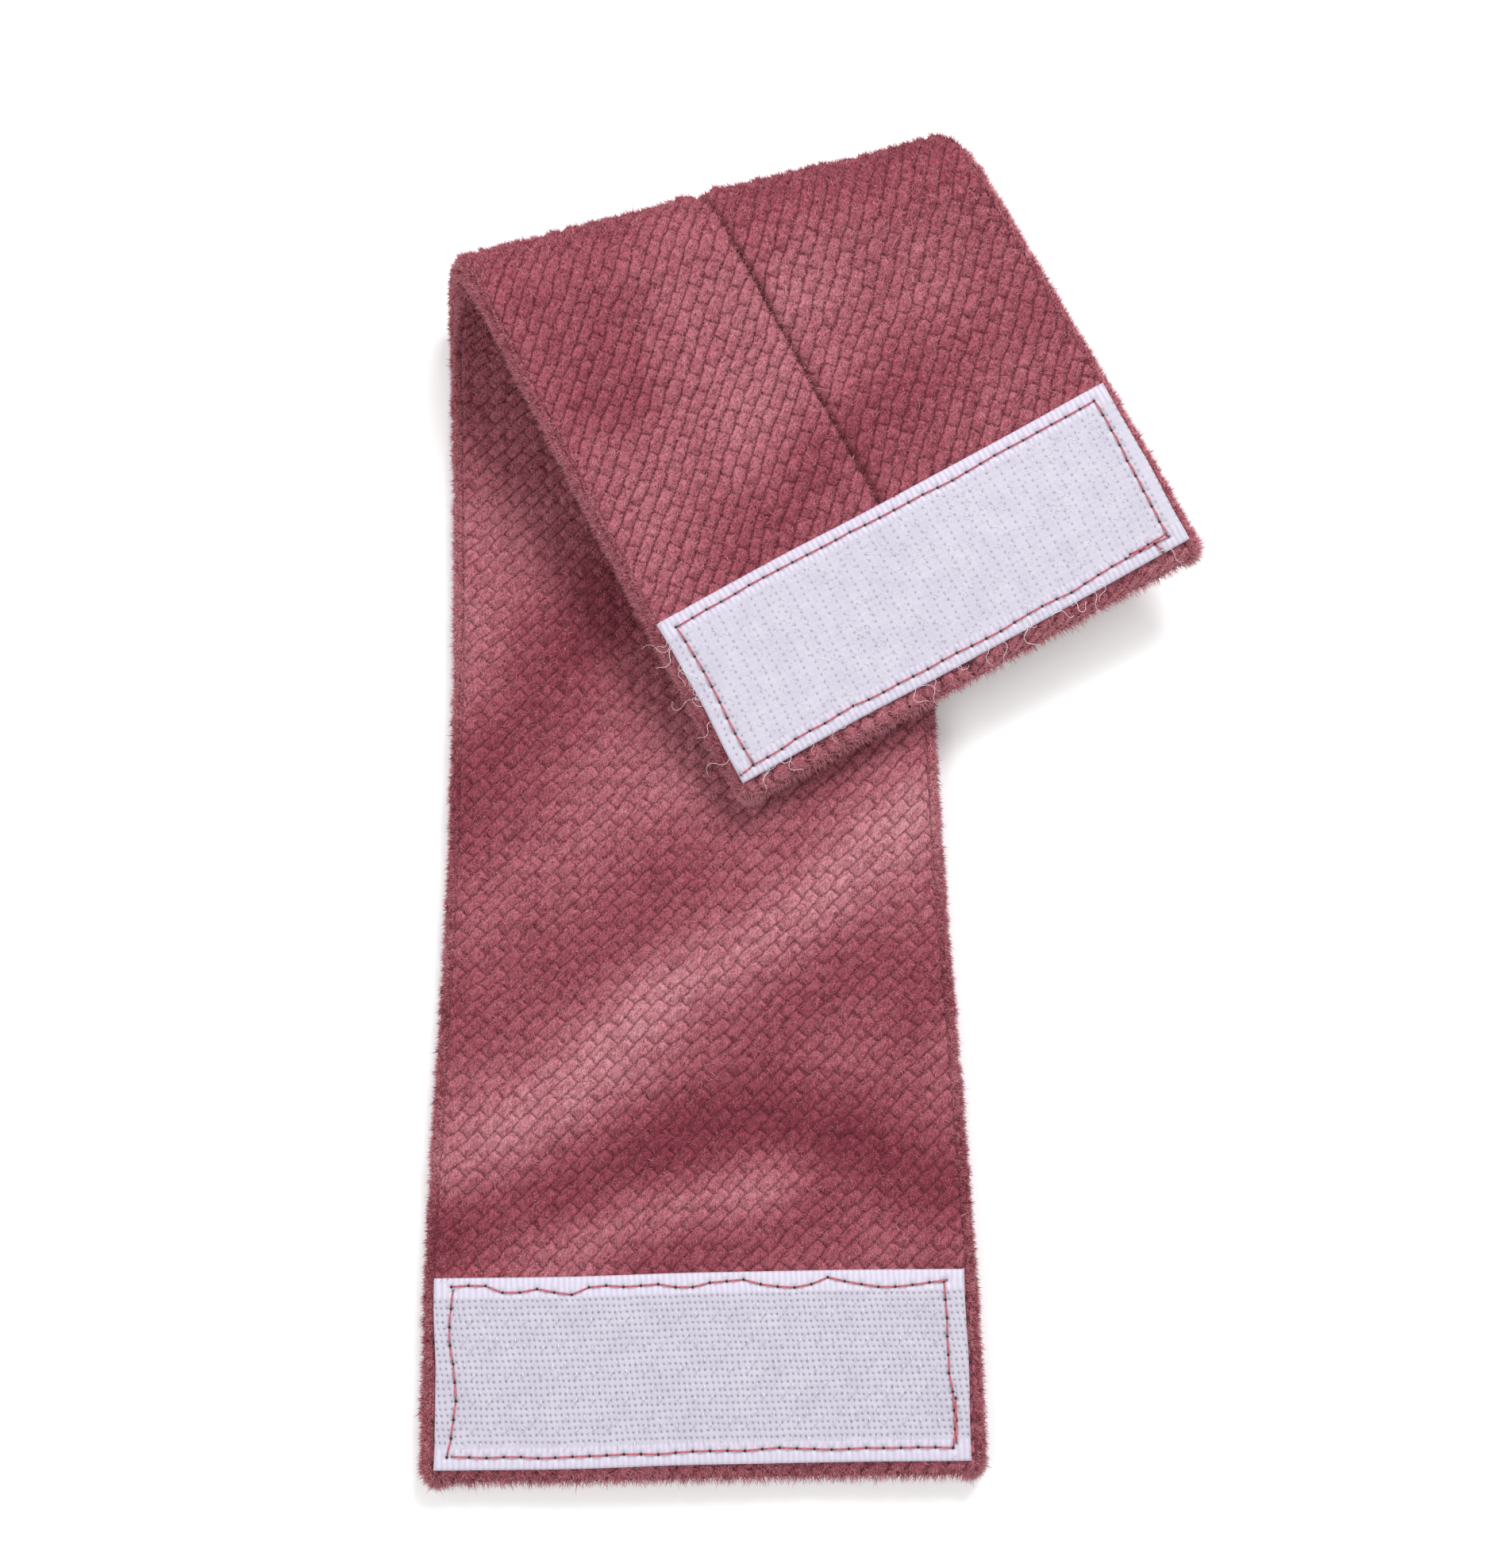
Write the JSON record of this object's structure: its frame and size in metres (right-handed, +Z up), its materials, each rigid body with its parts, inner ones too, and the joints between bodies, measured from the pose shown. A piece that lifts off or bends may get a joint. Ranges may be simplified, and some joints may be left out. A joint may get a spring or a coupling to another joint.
{
  "type": "wrist band",
  "caption": "Soft plush wrist band with a hook tape on one end and a loop tape on the other, which lap and fasten round a wrist or sleeve; stored folded over.",
  "frame": {"origin": "centre of the folded band, on the surface it lies on", "axes": "+Y along the strap from the hook-tape end towards the fold, +X across it, +Z up from the surface"},
  "size_m": [0.0868, 0.1488, 0.0182],
  "materials": {
    "plush": "cut-pile chenille plush, dusty rose",
    "wadding": "soft fibre wadding",
    "hook_tape": "woven nylon with moulded-thread hooks, pale lilac white",
    "loop_tape": "brushed nylon loops, pale lilac white",
    "thread": "spun polyester thread, dusty red"
  },
  "bodies": {
    "hook_end": {"cover_hook_end": "plush", "wadding_hook_end": "wadding", "seam_hook_end": "thread", "hook_tape": "hook_tape", "hook_tape_stitching": "thread"},
    "strap_1": {"cover_strap_1": "plush", "wadding_strap_1": "wadding", "seam_strap_1": "thread"},
    "strap_2": {"cover_strap_2": "plush", "wadding_strap_2": "wadding", "seam_strap_2": "thread"},
    "strap_3": {"cover_strap_3": "plush", "wadding_strap_3": "wadding", "seam_strap_3": "thread"},
    "strap_4": {"cover_strap_4": "plush", "wadding_strap_4": "wadding", "seam_strap_4": "thread"},
    "strap_5": {"cover_strap_5": "plush", "wadding_strap_5": "wadding", "seam_strap_5": "thread"},
    "strap_6": {"cover_strap_6": "plush", "wadding_strap_6": "wadding", "seam_strap_6": "thread"},
    "strap_7": {"cover_strap_7": "plush", "wadding_strap_7": "wadding", "seam_strap_7": "thread"},
    "base": {"cover_base": "plush", "wadding_base": "wadding", "seam_base": "thread"},
    "bend_1": {"cover_bend_1": "plush", "wadding_bend_1": "wadding", "seam_bend_1": "thread"},
    "bend_2": {"cover_bend_2": "plush", "wadding_bend_2": "wadding", "seam_bend_2": "thread"},
    "bend_3": {"cover_bend_3": "plush", "wadding_bend_3": "wadding", "seam_bend_3": "thread"},
    "flap": {"cover_flap": "plush", "wadding_flap": "wadding", "seam_flap": "thread"},
    "lap_1": {"cover_lap_1": "plush", "wadding_lap_1": "wadding", "seam_lap_1": "thread"},
    "lap_2": {"cover_lap_2": "plush", "wadding_lap_2": "wadding", "seam_lap_2": "thread"},
    "lap_3": {"cover_lap_3": "plush", "wadding_lap_3": "wadding", "seam_lap_3": "thread"},
    "loop_end": {"cover_loop_end": "plush", "wadding_loop_end": "wadding", "seam_loop_end": "thread", "loop_tape": "loop_tape", "loop_tape_stitching": "thread"}
  },
  "joints": [
    {"name": "wrap_hook_end", "type": "hinge", "parent": "base", "child": "strap_7", "pos_m": [-0.01321, 0.0466, 0.0022], "axis": [1, 0, 0], "range_deg": [0, 35.5]},
    {"name": "wrap_hook_end_2", "type": "hinge", "parent": "strap_7", "child": "strap_6", "pos_m": [-0.01321, 0.03274, 0.0022], "axis": [1, 0, 0], "range_deg": [0, 35.5]},
    {"name": "wrap_hook_end_3", "type": "hinge", "parent": "strap_6", "child": "strap_5", "pos_m": [-0.01321, 0.01889, 0.0022], "axis": [1, 0, 0], "range_deg": [0, 35.5]},
    {"name": "wrap_hook_end_4", "type": "hinge", "parent": "strap_5", "child": "strap_4", "pos_m": [-0.01321, 0.00503, 0.0022], "axis": [1, 0, 0], "range_deg": [0, 35.5]},
    {"name": "wrap_hook_end_5", "type": "hinge", "parent": "strap_4", "child": "strap_3", "pos_m": [-0.01321, -0.00883, 0.0022], "axis": [1, 0, 0], "range_deg": [0, 25.3]},
    {"name": "wrap_hook_end_6", "type": "hinge", "parent": "strap_3", "child": "strap_2", "pos_m": [-0.01321, -0.02268, 0.0022], "axis": [1, 0, 0], "range_deg": [0, 25.3]},
    {"name": "wrap_hook_end_7", "type": "hinge", "parent": "strap_2", "child": "strap_1", "pos_m": [-0.01321, -0.03654, 0.0022], "axis": [1, 0, 0], "range_deg": [0, 25.3]},
    {"name": "wrap_hook_end_8", "type": "hinge", "parent": "strap_1", "child": "hook_end", "pos_m": [-0.01321, -0.0504, 0.0022], "axis": [1, 0, 0], "range_deg": [0, 25.3]},
    {"name": "unfold", "type": "hinge", "parent": "base", "child": "bend_1", "pos_m": [-0.01321, 0.0611, 0.0022], "axis": [-0.9699, -0.2436, 0], "range_deg": [0, 47.25]},
    {"name": "unfold_2", "type": "hinge", "parent": "bend_1", "child": "bend_2", "pos_m": [-0.01274, 0.06545, 0.00664], "axis": [-0.9699, -0.2436, 0], "range_deg": [0, 47.25]},
    {"name": "unfold_3", "type": "hinge", "parent": "bend_2", "child": "bend_3", "pos_m": [-0.01115, 0.06536, 0.01267], "axis": [-0.9699, -0.2436, 0], "range_deg": [0, 47.25]},
    {"name": "unfold_4", "type": "hinge", "parent": "bend_3", "child": "flap", "pos_m": [-0.00851, 0.06113, 0.01642], "axis": [-0.9699, -0.2436, 0], "range_deg": [0, 47.25]},
    {"name": "wrap_loop_end", "type": "hinge", "parent": "flap", "child": "lap_1", "pos_m": [-0.00251, 0.05001, 0.01448], "axis": [-0.882, -0.4696, -0.0381], "range_deg": [0, 29.2]},
    {"name": "wrap_loop_end_2", "type": "hinge", "parent": "lap_1", "child": "lap_2", "pos_m": [0.00054, 0.04435, 0.01349], "axis": [-0.882, -0.4696, -0.0381], "range_deg": [0, 29.2]},
    {"name": "wrap_loop_end_3", "type": "hinge", "parent": "lap_2", "child": "lap_3", "pos_m": [0.0036, 0.0387, 0.01251], "axis": [-0.882, -0.4696, -0.0381], "range_deg": [0, 29.2]},
    {"name": "wrap_loop_end_4", "type": "hinge", "parent": "lap_3", "child": "loop_end", "pos_m": [0.00665, 0.03305, 0.01152], "axis": [-0.882, -0.4696, -0.0381], "range_deg": [0, 29.2]}
  ],
  "couplings": [
    {"joint": "wrap_hook_end_2", "follows": "wrap_hook_end", "ratio": 1},
    {"joint": "wrap_hook_end_3", "follows": "wrap_hook_end", "ratio": 1},
    {"joint": "wrap_hook_end_4", "follows": "wrap_hook_end", "ratio": 1},
    {"joint": "wrap_hook_end_5", "follows": "wrap_hook_end", "ratio": 0.7125},
    {"joint": "wrap_hook_end_6", "follows": "wrap_hook_end", "ratio": 0.7125},
    {"joint": "wrap_hook_end_7", "follows": "wrap_hook_end", "ratio": 0.7125},
    {"joint": "wrap_hook_end_8", "follows": "wrap_hook_end", "ratio": 0.7125},
    {"joint": "unfold_2", "follows": "unfold", "ratio": 1},
    {"joint": "unfold_3", "follows": "unfold", "ratio": 1},
    {"joint": "unfold_4", "follows": "unfold", "ratio": 1},
    {"joint": "wrap_loop_end_2", "follows": "wrap_loop_end", "ratio": 1},
    {"joint": "wrap_loop_end_3", "follows": "wrap_loop_end", "ratio": 1},
    {"joint": "wrap_loop_end_4", "follows": "wrap_loop_end", "ratio": 1}
  ]
}
